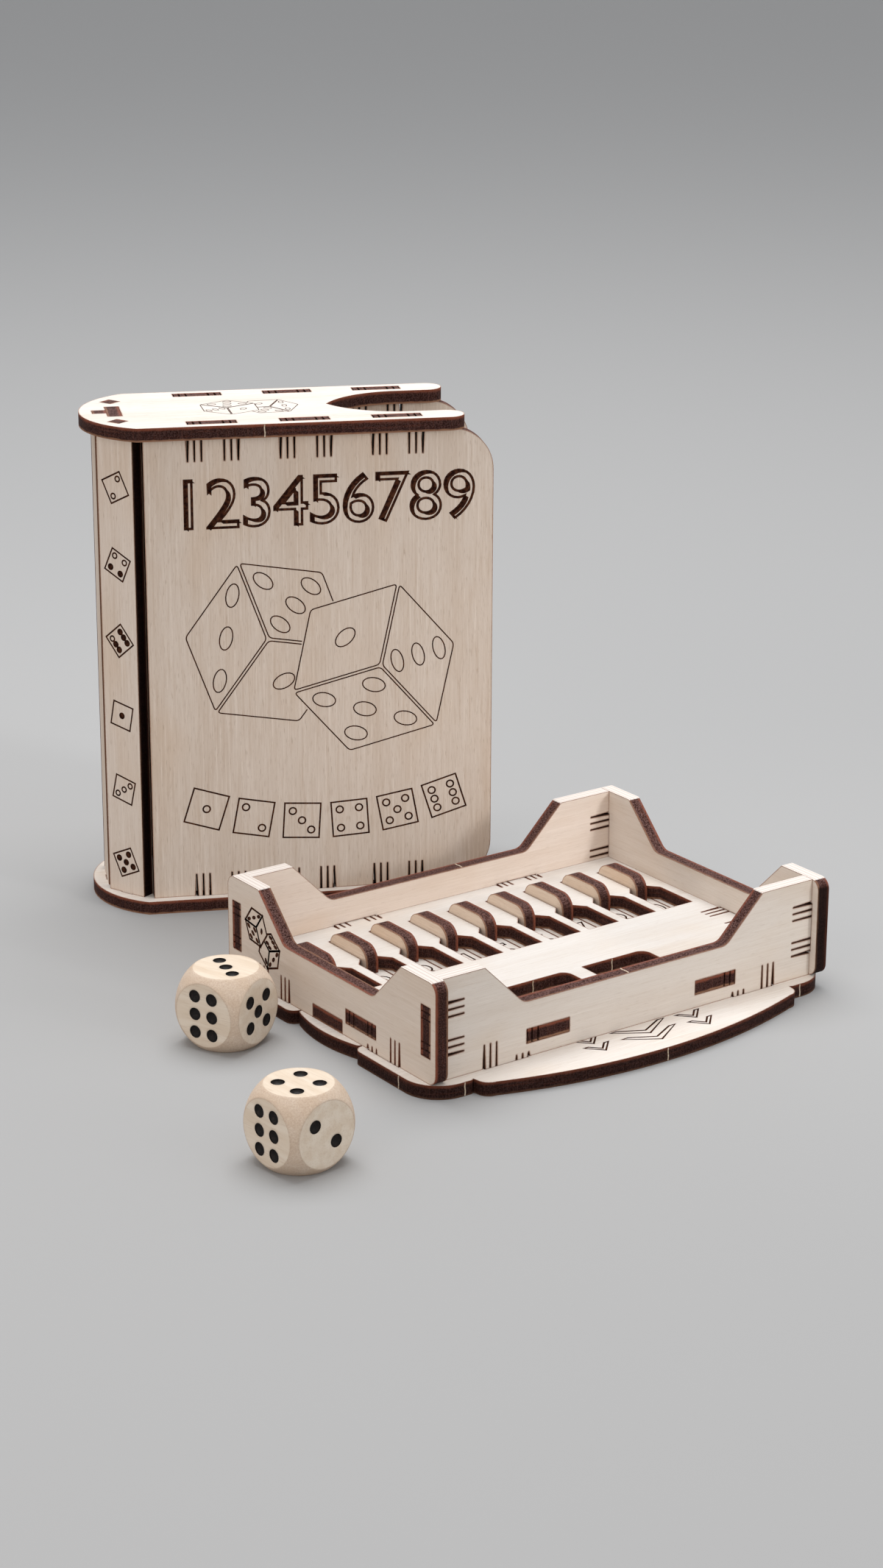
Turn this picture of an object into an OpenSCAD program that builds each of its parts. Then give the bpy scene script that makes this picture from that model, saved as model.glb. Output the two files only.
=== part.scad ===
// A shut-the-box game in laser-cut plywood: a book-shaped case that stands on its foot, the tray
// that belongs inside it, nine sliding numbers and two dice.
// Every board is one flat outline cut from the same sheet. Boards meet in tabs and mortises, and
// saw-thin slits beside each tab let its ends spring, so that the kit holds together by friction.

/* [Sheet and joints] */
// Thickness of the plywood sheet
sheet = 3; // [2.5:0.1:3.2]
// Width of a joint tab
tab_w = 10.7; // [8:0.1:12]
// Clearance on each side of a tab in its mortise
tab_fit = 0.1; // [0.05:0.05:0.2]
// Length of a spring slit, from the shoulder into the board
slit_len = 5.3; // [3:0.1:6]
// Distance from one slit to the next
slit_pitch = 1.52; // [1.2:0.01:1.8]
// Width of a slit at its closed end
slit_w = 0.3; // [0.2:0.05:0.5]
// Width at its open end of the slit that runs along the tab's flank
flank_slit_w = 0.75; // [0.3:0.05:1]

/* [Case] */
// Height of the case over both caps
case_h = 111.8; // [106:0.1:130]
// Depth of the case over both covers
case_d = 31.3; // [31:0.1:40]
// Width of a cover, from its spine edge to its fore-edge
cover_w = 77.3; // [74:0.1:95]
// Corner radius of a cover at the fore-edge
cover_corner_r = 9.5; // [4:0.5:15]
// How far the caps stand out past the covers
cap_overhang = 2.2; // [1:0.1:4]
// Length of a cap in front of the spine, to the end of its legs
cap_leg_end = 70.9; // [68:0.1:74]
// Radius of a cap's round end at the spine
cap_nose_r = 20; // [19:0.5:26]
// How far the round end stands out past the covers
cap_nose = 12.4; // [11.5:0.1:14]
// Width of a cap's leg beside the finger notch, in from the cover's outer face
leg_w = 5.15; // [4.5:0.05:7]
// Place of the finger notch's pointed inner end, from the covers' spine edge
notch_tip = 42.5; // [30:0.5:48]
// Length of the pointed arch that ends the notch
notch_arch = 17; // [12:0.5:20]
// Middle of a cover's first tab, from its spine edge
cover_tab_first = 15.2; // [12:0.1:18]
// Distance from one cover tab to the next
cover_tab_pitch = 20.35; // [19:0.05:22]
// Width of the two slanted spine strips
strip_w = 10; // [8:0.1:10.2]
// Gap between a slanted strip and the middle strip, measured across the spine
strip_gap = 1.4; // [1:0.1:2.5]
// Outer face of the middle spine strip, from the covers' spine edge
strip_mid_x = 9.4; // [9.2:0.1:9.6]
// Middle of a slanted spine strip, from the covers' spine edge
strip_side_x = 4.7; // [4.6:0.05:4.8]
// Middle of a slanted spine strip, in from the nearer cover's outer face
strip_side_y = 5.7; // [5.6:0.05:5.8]
// How much wider the rib behind the middle strip is, at each edge
rib_extra = 0.4; // [0:0.1:0.5]
// Width of the shoulder beside a tab of the rib
rib_shoulder = 0.55; // [0.5:0.05:1.5]

/* [Tray] */
// Width of the tray over its side walls
tray_w = 102.2; // [102:0.1:103]
// Depth of the tray over its front and back walls
tray_d = 72.2; // [72:0.1:76]
// Height of the tray's walls above the table
wall_top = 24.8; // [20:0.1:25]
// Height of the low edge in the middle of each wall
dip_z = 15.1; // [12:0.1:18]
// How far the side walls stand out past the front and back walls
wall_end = 1.9; // [1:0.1:3]
// Corner radius of the side walls
wall_corner_r = 2.4; // [1:0.1:4]
// Fillet where a wall's slope meets its low edge
dip_r = 3; // [1:0.5:6]
// Start of the dip in the front and back walls, from the tray's left face
long_dip_start = 13.3; // [12:0.1:16]
// End of the dip in the front and back walls, from the tray's right face
long_dip_end = 16.8; // [14:0.1:20]
// Start of the dip in the side walls, from the front wall's outer face
side_dip_start = 10; // [8:0.1:12]
// Middle of the outer tabs under the front and back walls, from the middle of the tray
long_foot_tab = 32.3; // [30:0.1:33]
// Middle of the tabs under the side walls, from the middle of the tray
side_foot_tab = 20.05; // [19:0.05:21]
// Middle of the deck's tabs in the front and back walls, from the middle of the tray
deck_tab_x = 21.9; // [21:0.1:22.2]
// Middle of the deck's tabs in the side walls, in front of the middle of the tray
deck_tab_y = 11.95; // [11.7:0.05:12.1]
// Middle of the guide comb's tabs in the side walls, behind the middle of the tray
comb_tab_y = 0.15; // [0.1:0.05:0.9]
// How far the base plate's feet stand out past the left wall
foot_left = 2.3; // [1:0.1:2.4]
// How far the base plate's feet stand out past the right wall
foot_right = 0.9; // [0.6:0.1:1]
// How far the base plate stands out past the front wall at its corners
base_front = 2.8; // [2:0.1:4]
// Corner radius of the base plate
base_corner_r = 8; // [4:0.5:10]
// How far the pull tab stands out past the front wall
pull_reach = 12.6; // [10:0.1:16]
// Radius of the pull tab's long curve
pull_r = 118; // [110:1:140]
// Left end of the pull tab, from the tray's left face
pull_start = 9; // [8:0.1:12]
// Right end of the pull tab, from the tray's right face
pull_end = 10.8; // [9:0.1:14]
// How far the base plate's lobe stands out past the left wall
lobe_left = 2.4; // [1.2:0.1:2.5]
// How far the base plate's lobe stands out past the right wall
lobe_right = 1; // [0.7:0.1:1.1]
// Width of a dice pocket
pocket_w = 16.7; // [16.4:0.1:17]
// Bar between the two dice pockets
pocket_bar = 4.2; // [3:0.1:6]
// Back edge of the dice pockets, from the front wall's outer face
pocket_back = 19.9; // [19.6:0.1:20.5]
// Corner radius of a dice pocket
pocket_r = 2.2; // [1:0.1:4]

/* [Number slides] */
// Left edge of the first window, from the tray's left face
window_x = 5.3; // [5.2:0.05:5.6]
// Right edge of the last window, from the tray's right face
window_end = 5.7; // [5.4:0.05:6]
// Width of a window
window_w = 8; // [7.6:0.1:8.2]
// Front edge of the windows, from the front wall's outer face
window_y = 35.85; // [35:0.05:37]
// Back end of the lever slots, in front of the back wall
slot_back = 7; // [5:0.1:9]
// Left edge of a lever slot, from its window's left edge
slot_x = 1.9; // [1.5:0.1:2.2]
// Clearance on each side of a lever in its slot, and of a plate in its guide
slide_clearance = 0.15; // [0.1:0.05:0.2]
// Width of a number plate
plate_w = 6.8; // [6:0.1:7]
// How far a plate reaches under the deck in front of its window
plate_lip = 0.95; // [0.5:0.05:1.5]
// Length of a lever
lever_len = 13.8; // [12:0.1:14]
// Top of a lever, above the table
lever_top = 11.7; // [10.5:0.1:14]
// Travel of a number, from open to shut
slide_travel = 11.9; // [8:0.1:11.9]

/* [Dice] */
// Edge length of a die
die = 16; // [12:0.5:16]
// Radius of the ball that rounds a die's edges and corners
die_ball_r = 10.55; // [10.2:0.05:11.2]
// Diameter of a pip
pip_d = 2.8; // [2:0.1:3]
// Depth of a pip
pip_depth = 0.6; // [0.3:0.1:1]

/* [Places on the table] */
// Turn of the case, seen from above
case_turn = -25.1; // [-40:0.1:-20]
// Case's spine corner, left or right of the tray's middle
case_x = -42.7; // [-60:0.1:-40]
// Case's spine corner, behind the tray's middle
case_y = 83.1; // [83:0.1:120]

/* [Hidden] */
$fn = 48;

birch = "#e8d8bc";
birch_warm = "#dcc49a";
beech = "#e6cda0";
slides = 9;
mid_x = tray_w / 2;
mid_y = tray_d / 2;
inner_x = tray_w - 2 * sheet;
inner_y = tray_d - 2 * sheet;
wall_mid_z = (wall_top + sheet) / 2;
slide_pitch = (tray_w - window_x - window_end - window_w) / (slides - 1);
slit_out = 0.2;            // middle of the flank slit, out from the tab's own edge
short_slit = 1.1;          // slits that would run into a mortise stop early
slot_w = sheet + 2 * slide_clearance;
slot_y = tray_d - sheet - slot_back;
neck_len = 12.1;           // from a slot's back end to where it widens into its window
window_left_len = 14.4;    // from a slot's back end to the window's left edge
window_right_len = 15.2;   // from a slot's back end to the window's right edge
guide_w = plate_w + 2 * slide_clearance;
plate_x = -0.1;            // left edge of a plate, from its window's left edge
plate_front = window_y - plate_lip;
plate_back = slot_y + 0.1;
guide_front = plate_front - slide_travel - slide_clearance;
guide_back = plate_back + 2 * slide_clearance;
lever_back = slot_y - 0.4;
lever_foot = 6;            // length of the tab that holds a lever in its plate
lever_front_r = 3.4;
lever_back_r = 3.2;
lobe_start = mid_y - 12.2; // ends of the side lobes, where the outline is nicked
lobe_end = mid_y + 9.9;
nick = 0.3;                // width of a nick at its bottom
strip_reach = case_d / 2 - strip_side_y;
strip_mid_w = 2 * (strip_reach - strip_w / 2 * cos(45) - strip_gap);
rib_w = strip_mid_w + 2 * rib_extra;
rib_tab_w = rib_w - 2 * rib_shoulder;
arc_step = 5;              // largest turn between two points of an arc
small_arc_step = 10;       // and where the radius is only a few millimetres
die_near_at = [-87.2, -44.4, 6.9];  // place, place and turn
die_far_at = [-68, 12, 22];

// ---------------------------------------------------------------- outlines

// Points along an arc, both ends included
function arc(c, r, from, to, step = arc_step) =
    let (n = max(1, ceil(abs(to - from) / step)))
    [for (i = [0:n]) c + r * [cos(from + (to - from) * i / n), sin(from + (to - from) * i / n)]];

// Mirrors a list of points in the line x = middle and turns their order round
function mirrored(points, middle) =
    [for (i = [len(points) - 1:-1:0]) [2 * middle - points[i][0], points[i][1]]];

// A wall whose top edge dips in its middle, between slopes of 45 degrees; corners rounded by r
function dipped_wall(left, right, dip_from, dip_to, r) =
    let (fall = wall_top - dip_z, t = dip_r * tan(22.5))
    concat(
        arc([left + r, sheet + r], r, 180, 270),
        arc([right - r, sheet + r], r, 270, 360),
        arc([right - r, wall_top - r], r, 0, 90),
        [[dip_to, wall_top]],
        arc([dip_to - fall - t, dip_z + dip_r], dip_r, 315, 270),
        arc([dip_from + fall + t, dip_z + dip_r], dip_r, 270, 225),
        [[dip_from, wall_top]],
        arc([left + r, wall_top - r], r, 90, 180)
    );

// One side of the base plate, from the back corner to the front corner, past a wall whose outer face
// is at x = 0: two feet with round inner ends, and a lobe between the nicks
function base_flank(foot, lobe) =
    let (
        c = base_corner_r, back = tray_d + wall_end, tip_r = 0.4 * lobe, rise = lobe - tip_r,
        lobe_mid = (lobe_start + lobe_end) / 2, half = (lobe_end - lobe_start) / 2 - tip_r,
        lobe_r = (half * half + rise * rise) / (2 * rise), sweep = asin(half / lobe_r)
    )
    concat(
        arc([c - foot, back - c], c, 90, 180),
        arc([0, lobe_end + nick + foot], foot, 180, 270, small_arc_step),
        arc([0, lobe_end - tip_r], tip_r, 90, 150, small_arc_step),
        arc([lobe_r - lobe, lobe_mid], lobe_r, 180 - sweep, 180 + sweep, 1.5),
        arc([0, lobe_start + tip_r], tip_r, 210, 270, small_arc_step),
        arc([0, lobe_start - nick - foot], foot, 90, 180, small_arc_step),
        arc([c - foot, c - base_front], c, 180, 270)
    );

// The pull tab at the front of the base plate, a flat arc with round ends between two nicks
pull_tab =
    let (
        end_r = 3, last = tray_w - pull_end, c = [(pull_start + last) / 2, pull_r - pull_reach],
        half = (last - pull_start) / 2 - end_r, sweep = asin(half / pull_r),
        end_y = c[1] - pull_r * cos(sweep) + end_r
    )
    concat(
        [[pull_start - 0.7, -base_front], [pull_start - 0.2, 0.4 - base_front]],
        arc([pull_start + end_r, end_y], end_r, 180, 270 - sweep, small_arc_step),
        arc(c, pull_r, 270 - sweep, 270 + sweep, 1),
        arc([last - end_r, end_y], end_r, 270 + sweep, 360, small_arc_step),
        [[last + 0.2, 0.4 - base_front], [last + 0.7, -base_front]]
    );

// A cap: straight sides, a round end at the spine and two legs beside the finger notch
cap_outline =
    let (
        nose = asin((case_d / 2 + cap_overhang) / cap_nose_r), leg_r = 3.6,
        b = case_d / 2 - leg_w, arch_x = notch_tip + notch_arch,
        arch_r = (b * b + notch_arch * notch_arch) / (2 * b), tip = atan((arch_r - b) / notch_arch)
    )
    concat(
        arc([cap_nose_r - cap_nose, case_d / 2], cap_nose_r, 180 - nose, 180 + nose, 4),
        arc([cap_leg_end - leg_r, leg_r - cap_overhang], leg_r, 270, 360, small_arc_step),
        arc([cap_leg_end - leg_r, leg_w - leg_r], leg_r, 0, 90, small_arc_step),
        arc([arch_x, leg_w + arch_r], arch_r, 270, 180 + tip, 4),
        arc([arch_x, case_d - leg_w - arch_r], arch_r, 180 - tip, 90, 4),
        arc([cap_leg_end - leg_r, case_d - leg_w + leg_r], leg_r, 270, 360, small_arc_step),
        arc([cap_leg_end - leg_r, case_d + cap_overhang - leg_r], leg_r, 0, 90, small_arc_step)
    );

// ---------------------------------------------------------------- tabs, slits and mortises

// A tab that points along +Y from an edge on the X axis
module tab(w = tab_w) {
    translate([-w / 2, -1]) square([w, sheet + 1]);
}

// The three slits at one end of a tab (side is -1 or 1): the first runs along the tab's flank
module slit_trio(side, length) {
    for (i = [0:2]) {
        x = side * (tab_w / 2 + slit_out - i * slit_pitch);
        open_w = i == 0 ? flank_slit_w : slit_w + 0.15;
        polygon([
            [x - slit_w / 2, -length], [x + slit_w / 2, -length],
            [x + open_w / 2, 0], [x + open_w / 2, sheet + 1],
            [x - open_w / 2, sheet + 1], [x - open_w / 2, 0]
        ]);
    }
}

// Both trios; a length of 0 leaves that end of the tab plain
module slits(left = slit_len, right = slit_len) {
    if (left > 0) slit_trio(-1, left);
    if (right > 0) slit_trio(1, right);
}

// A mortise for a tab whose middle plane passes through the origin along X
module mortise(w = tab_w) {
    square([w + 2 * tab_fit, sheet + 2 * tab_fit], center = true);
}

// A flat board lying with its underside at height z
module flat_board(z) {
    translate([0, 0, z]) linear_extrude(sheet) children();
}

// A board standing along X: its drawing's X and Y become X and Z, front face at y
module board_along_x(y) {
    translate([0, y + sheet, 0]) rotate([90, 0, 0]) linear_extrude(sheet) children();
}

// A board standing along Y: its drawing's X and Y become Y and Z, left face at x
module board_along_y(x) {
    translate([x, 0, 0]) rotate([90, 0, 90]) linear_extrude(sheet) children();
}

// ---------------------------------------------------------------- tray

module in_tray() {
    translate([-mid_x, -mid_y, 0]) children();
}

module base_plate() {
    left = base_flank(foot_left, lobe_left);
    right = mirrored(base_flank(foot_right, lobe_right), mid_x);
    color(birch) in_tray() flat_board(0) difference() {
        polygon(concat(left, pull_tab, right));
        for (x = [mid_x - long_foot_tab, mid_x + long_foot_tab], y = [sheet / 2, tray_d - sheet / 2])
            translate([x, y]) mortise();
        for (x = [sheet / 2, tray_w - sheet / 2], y = [mid_y - side_foot_tab, mid_y + side_foot_tab])
            translate([x, y]) rotate(90) mortise();
    }
}

// Front and back walls are the same board
module long_wall(y) {
    color(birch) in_tray() board_along_x(y) difference() {
        union() {
            polygon(dipped_wall(sheet, tray_w - sheet, long_dip_start, tray_w - long_dip_end, 0.2));
            for (x = [mid_x - long_foot_tab, mid_x + long_foot_tab])
                translate([x, sheet]) rotate(180) tab();
            translate([sheet, wall_mid_z]) rotate(90) tab();
            translate([tray_w - sheet, wall_mid_z]) rotate(-90) tab();
        }
        translate([mid_x - long_foot_tab, sheet]) rotate(180) slits(short_slit, slit_len);
        translate([mid_x + long_foot_tab, sheet]) rotate(180) slits(slit_len, short_slit);
        translate([sheet, wall_mid_z]) rotate(90) slits();
        translate([tray_w - sheet, wall_mid_z]) rotate(-90) slits();
        for (x = [mid_x - deck_tab_x, mid_x + deck_tab_x])
            translate([x, 2.5 * sheet]) mortise();
    }
}

module front_wall() {
    long_wall(0);
}

module back_wall() {
    long_wall(tray_d - sheet);
}

// Left and right walls are the same board, turned round
module side_wall(x) {
    front = -wall_end;
    back = tray_d + wall_end;
    color(birch) in_tray() board_along_y(x) difference() {
        union() {
            polygon(dipped_wall(front, back, side_dip_start, tray_d - side_dip_start, wall_corner_r));
            for (y = [mid_y - side_foot_tab, mid_y + side_foot_tab])
                translate([y, sheet]) rotate(180) tab();
        }
        translate([mid_y - side_foot_tab, sheet]) rotate(180) slits(short_slit, slit_len);
        translate([mid_y + side_foot_tab, sheet]) rotate(180) slits();
        for (y = [sheet / 2, tray_d - sheet / 2])
            translate([y, wall_mid_z]) rotate(90) mortise();
        translate([mid_y - deck_tab_y, 2.5 * sheet]) mortise();
        translate([mid_y + comb_tab_y, 1.5 * sheet]) mortise();
    }
}

module left_wall() {
    side_wall(0);
}

module right_wall() {
    side_wall(tray_w - sheet);
}

// The two dice pockets, cut through the deck and the comb down to the base plate
module pockets() {
    for (x = [mid_x - pocket_bar / 2 - pocket_w, mid_x + pocket_bar / 2])
        polygon(concat(
            [[x, pocket_back], [x, sheet - 1], [x + pocket_w, sheet - 1]],
            arc([x + pocket_w - pocket_r, pocket_back - pocket_r], pocket_r, 0, 90, small_arc_step)
        ));
}

// The middle layer: nine channels that guide the number plates
module guide_comb() {
    color(birch_warm) in_tray() flat_board(sheet) difference() {
        union() {
            translate([sheet, sheet]) square([inner_x, inner_y]);
            translate([sheet, mid_y + comb_tab_y]) rotate(90) tab();
            translate([tray_w - sheet, mid_y + comb_tab_y]) rotate(-90) tab();
        }
        pockets();
        for (k = [0:slides - 1])
            translate([window_x + k * slide_pitch + plate_x - slide_clearance, guide_front])
                square([guide_w, guide_back - guide_front]);
    }
}

// One keyhole: a window for the number, narrowing to the slot that the lever runs in
module keyhole() {
    polygon([
        [0, window_y], [window_w, window_y], [window_w, slot_y - window_right_len],
        [slot_x + slot_w, slot_y - neck_len], [slot_x + slot_w, slot_y],
        [slot_x, slot_y], [slot_x, slot_y - neck_len], [0, slot_y - window_left_len]
    ]);
}

// The top layer. Its front tabs are slit only at their outer ends, because the pockets reach the
// wall beside their inner ends
module deck() {
    short_back = 2.2;
    color(birch) in_tray() flat_board(2 * sheet) difference() {
        union() {
            translate([sheet, sheet]) square([inner_x, inner_y]);
            for (x = [mid_x - deck_tab_x, mid_x + deck_tab_x]) {
                translate([x, sheet]) rotate(180) tab();
                translate([x, tray_d - sheet]) tab();
            }
            translate([sheet, mid_y - deck_tab_y]) rotate(90) tab();
            translate([tray_w - sheet, mid_y - deck_tab_y]) rotate(-90) tab();
        }
        translate([mid_x - deck_tab_x, sheet]) rotate(180) slits(0, slit_len);
        translate([mid_x + deck_tab_x, sheet]) rotate(180) slits(slit_len, 0);
        for (x = [mid_x - deck_tab_x, mid_x + deck_tab_x])
            translate([x, tray_d - sheet]) slits(short_back, short_back);
        translate([sheet, mid_y - deck_tab_y]) rotate(90) slits();
        translate([tray_w - sheet, mid_y - deck_tab_y]) rotate(-90) slits();
        pockets();
        for (k = [0:slides - 1])
            translate([window_x + k * slide_pitch, 0]) keyhole();
    }
}

// ---------------------------------------------------------------- number slides

module in_slide(k) {
    in_tray() translate([window_x + (k - 1) * slide_pitch, 0, 0]) children();
}

// A plate that carries a number in its window, with the mortise for its lever
module number_plate(k) {
    color(birch) in_slide(k) flat_board(sheet) difference() {
        translate([plate_x, plate_front]) square([plate_w, plate_back - plate_front]);
        translate([slot_x + slot_w / 2, lever_back - lever_len / 2]) rotate(90) mortise(lever_foot);
    }
}

// A lever stands in its plate and comes up through the slot; both its top corners are round
module lever(k) {
    front = lever_back - lever_len;
    mid = lever_back - lever_len / 2;
    foot = 2 * sheet;
    color(birch_warm) in_slide(k) board_along_y(slot_x + slide_clearance) union() {
        polygon(concat(
            [[front, foot], [lever_back, foot]],
            arc([lever_back - lever_back_r, lever_top - lever_back_r], lever_back_r, 0, 90, small_arc_step),
            arc([front + lever_front_r, lever_top - lever_front_r], lever_front_r, 90, 180, small_arc_step)
        ));
        translate([mid, foot]) rotate(180) tab(lever_foot);
    }
}

// ---------------------------------------------------------------- case

module in_case() {
    translate([case_x, case_y, 0]) rotate(case_turn) children();
}

cover_tabs = [for (i = [0:2]) cover_tab_first + i * cover_tab_pitch];
body_h = case_h - 2 * sheet;

module cap(z) {
    color(birch) in_case() flat_board(z) difference() {
        polygon(cap_outline);
        for (x = cover_tabs, y = [sheet / 2, case_d - sheet / 2])
            translate([x, y]) mortise();
        translate([sheet / 2 - strip_mid_x, case_d / 2]) rotate(90) mortise(sheet);
        translate([1.5 * sheet + tab_fit - strip_mid_x, case_d / 2]) rotate(90) mortise(rib_tab_w);
        for (side = [-1, 1])
            translate([-strip_side_x, case_d / 2 + side * strip_reach]) rotate(45) mortise(sheet);
    }
}

module bottom_cap() {
    cap(0);
}

module top_cap() {
    cap(case_h - sheet);
}

// A cover: three tabs at the head and three at the foot, round corners at the fore-edge
module cover(y) {
    r = cover_corner_r;
    head = case_h - sheet;
    color(birch_warm) in_case() board_along_x(y) difference() {
        union() {
            polygon(concat(
                [[0, head], [0, sheet]],
                arc([cover_w - r, sheet + r], r, 270, 360),
                arc([cover_w - r, head - r], r, 0, 90)
            ));
            for (x = cover_tabs) {
                translate([x, head]) tab();
                translate([x, sheet]) rotate(180) tab();
            }
        }
        for (x = cover_tabs) {
            translate([x, head]) slits();
            translate([x, sheet]) rotate(180) slits();
        }
    }
}

module front_cover() {
    cover(0);
}

module back_cover() {
    cover(case_d - sheet);
}

// A strip of the spine, as tall as the covers, standing in the caps on a tab at each end
module strip(w, tab_width) {
    union() {
        translate([-w / 2, sheet]) square([w, body_h]);
        translate([0, sheet + body_h]) tab(tab_width);
        translate([0, sheet]) rotate(180) tab(tab_width);
    }
}

// A slanted strip; side is -1 at the front cover and 1 at the back cover
module slanted_strip(side) {
    color(birch_warm) in_case()
        translate([-strip_side_x, case_d / 2 + side * strip_reach, 0])
            rotate(side * 45) board_along_x(-sheet / 2) strip(strip_w, sheet);
}

module spine_front_strip() {
    slanted_strip(-1);
}

module spine_back_strip() {
    slanted_strip(1);
}

module spine_middle_strip() {
    color(birch_warm) in_case() translate([0, case_d / 2, 0])
        board_along_y(-strip_mid_x) strip(strip_mid_w, sheet);
}

module spine_rib() {
    color(birch_warm) in_case() translate([0, case_d / 2, 0])
        board_along_y(sheet + tab_fit - strip_mid_x) strip(rib_w, rib_tab_w);
}

// ---------------------------------------------------------------- dice

// Pips of each face, as places on it in the direction of its own X and Y
pip_wide = 3.9;
pip_near = 2.1;
pip_diag = 2.8;
function pips(n) =
    n == 6 ? [for (x = [-pip_near, pip_near], y = [-pip_wide, 0, pip_wide]) [x, y]] :
    concat(
        n % 2 == 1 ? [[0, 0]] : [],
        n > 1 ? [[-pip_diag, pip_diag], [pip_diag, -pip_diag]] : [],
        n > 3 ? [[pip_diag, pip_diag], [-pip_diag, -pip_diag]] : []
    );

module pip_set(n) {
    ball = (pow(pip_d / 2, 2) + pow(pip_depth, 2)) / (2 * pip_depth);
    for (p = pips(n))
        translate([p[0], p[1], die / 2 + ball - pip_depth]) sphere(r = ball);
}

// A die with 1 opposite 6, 2 opposite 5 and 3 opposite 4. Its 4 is on top, its 6 faces -X
module die_body() {
    color(beech) difference() {
        intersection() {
            cube(die, center = true);
            sphere(r = die_ball_r, $fn = 96);
        }
        pip_set(4);
        rotate([180, 0, 0]) rotate(90) pip_set(3);
        rotate([90, 0, -90]) pip_set(6);
        rotate([90, 0, 90]) pip_set(1);
        rotate([90, 0, 0]) pip_set(2);
        rotate([90, 0, 180]) pip_set(5);
    }
}

module die_near() {
    translate([die_near_at[0], die_near_at[1], die / 2]) rotate(die_near_at[2]) die_body();
}

// This one lies with its 3 on top
module die_far() {
    translate([die_far_at[0], die_far_at[1], die / 2]) rotate(die_far_at[2])
        rotate([180, 0, 0]) die_body();
}

base_plate();
front_wall();
back_wall();
left_wall();
right_wall();
guide_comb();
deck();
for (k = [1:slides]) {
    number_plate(k);
    lever(k);
}
bottom_cap();
top_cap();
front_cover();
back_cover();
spine_front_strip();
spine_middle_strip();
spine_back_strip();
spine_rib();
die_near();
die_far();
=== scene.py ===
import math

import bmesh
import bpy
from mathutils import Matrix, Vector


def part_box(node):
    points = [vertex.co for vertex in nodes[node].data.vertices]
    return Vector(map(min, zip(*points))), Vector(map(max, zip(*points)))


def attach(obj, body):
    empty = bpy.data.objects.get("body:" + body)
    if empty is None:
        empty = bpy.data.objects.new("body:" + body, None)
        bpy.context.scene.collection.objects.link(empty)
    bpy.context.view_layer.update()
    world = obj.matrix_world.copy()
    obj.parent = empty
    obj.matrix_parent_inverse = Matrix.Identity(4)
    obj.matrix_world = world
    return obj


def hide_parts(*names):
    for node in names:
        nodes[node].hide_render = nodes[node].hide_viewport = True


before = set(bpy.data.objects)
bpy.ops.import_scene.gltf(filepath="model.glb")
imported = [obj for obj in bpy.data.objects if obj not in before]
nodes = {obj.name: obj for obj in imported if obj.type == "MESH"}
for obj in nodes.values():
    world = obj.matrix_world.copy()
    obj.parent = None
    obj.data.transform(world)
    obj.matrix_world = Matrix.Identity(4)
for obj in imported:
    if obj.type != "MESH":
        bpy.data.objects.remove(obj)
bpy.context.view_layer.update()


# ---- Base plate -------------------------------------------------------------------------------
# The tray's lowest board: 3 mm birch plywood, laser-cut to one flat outline with a long pull tab at
# the front and a shallow lobe at each side. It lies on the table and holds the four walls' tabs.

MM = 0.001
SHEET = 3.0
UP = Vector((0, 0, 1))
RIGHT = Vector((1, 0, 0))
BACK = Vector((0, 1, 0))
VENEER = (0.78, 0.724, 0.672, 1)
CHAR = (0.016, 0.0042, 0.0030, 1)
CHAR_FIBRE = (0.080, 0.028, 0.018, 1)
# Light char crumbs, also used as a painted sheen where the char faces up.
CHAR_CRUMB_SHEEN = (0.20, 0.112, 0.100, 1)
OUTER_PLY_CHAR = (0.24, 0.066, 0.033, 1)
UNDER_PLY_CHAR = (0.34, 0.175, 0.10, 1)
# Near-black painted shade for charred edges that face sideways or down.
PAINTED_EDGE_SHADE = (0.0035, 0.0018, 0.0014, 1)
SCORCH = (0.24, 0.085, 0.033, 1)
SAWN_PLY = (0.78, 0.72, 0.67, 1)
GLUE_LINE = (0.56, 0.43, 0.37, 1)


def wire(tree, kind, values=None, **settings):
    """Adds a shader node; a value that is a socket is linked, and any other is set."""
    node = tree.nodes.new("ShaderNode" + kind)
    for name, value in settings.items():
        setattr(node, name, value)
    for name, value in (values or {}).items():
        if isinstance(value, bpy.types.NodeSocket):
            tree.links.new(value, node.inputs[name])
        else:
            node.inputs[name].default_value = value
    return node


def math_of(tree, operation, *values):
    return wire(tree, "Math", dict(enumerate(values)), operation=operation).outputs[0]


def fade(tree, value, low, high, start=0.0, end=1.0):
    """Value mapped from low..high to start..end, smoothly and clamped."""
    sockets = {"Value": value, "From Min": low, "From Max": high, "To Min": start, "To Max": end}
    return wire(tree, "MapRange", sockets, interpolation_type="SMOOTHSTEP").outputs[0]


def blend_colours(tree, share, below, above):
    node = wire(tree, "Mix", {0: share}, data_type="RGBA")
    for socket, colour in ((node.inputs[6], below), (node.inputs[7], above)):
        if isinstance(colour, bpy.types.NodeSocket):
            tree.links.new(colour, socket)
        else:
            socket.default_value = colour
    return node.outputs[2]


def along_axis(tree, point, axis, scale=1 / MM, shift=0.0):
    """The point's place along an axis, in millimetres unless scale says otherwise."""
    dot = wire(tree, "VectorMath", {0: point, 1: axis}, operation="DOT_PRODUCT").outputs["Value"]
    return math_of(tree, "MULTIPLY_ADD", dot, scale, shift)


def grain_noise(tree, place, stretch, detail=2.0, roughness=0.5):
    """Noise over a (grain, width, thickness) place in mm, with one frequency per direction."""
    scaled = wire(tree, "VectorMath", {0: place, 1: stretch}, operation="MULTIPLY").outputs[0]
    sockets = {"Vector": scaled, "Scale": 1.0, "Detail": detail, "Roughness": roughness}
    return wire(tree, "TexNoise", sockets).outputs[0]


def new_material(name):
    material = bpy.data.materials.new(name)
    material.use_nodes = True
    return material, material.node_tree, material.node_tree.nodes["Principled BSDF"]


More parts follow.
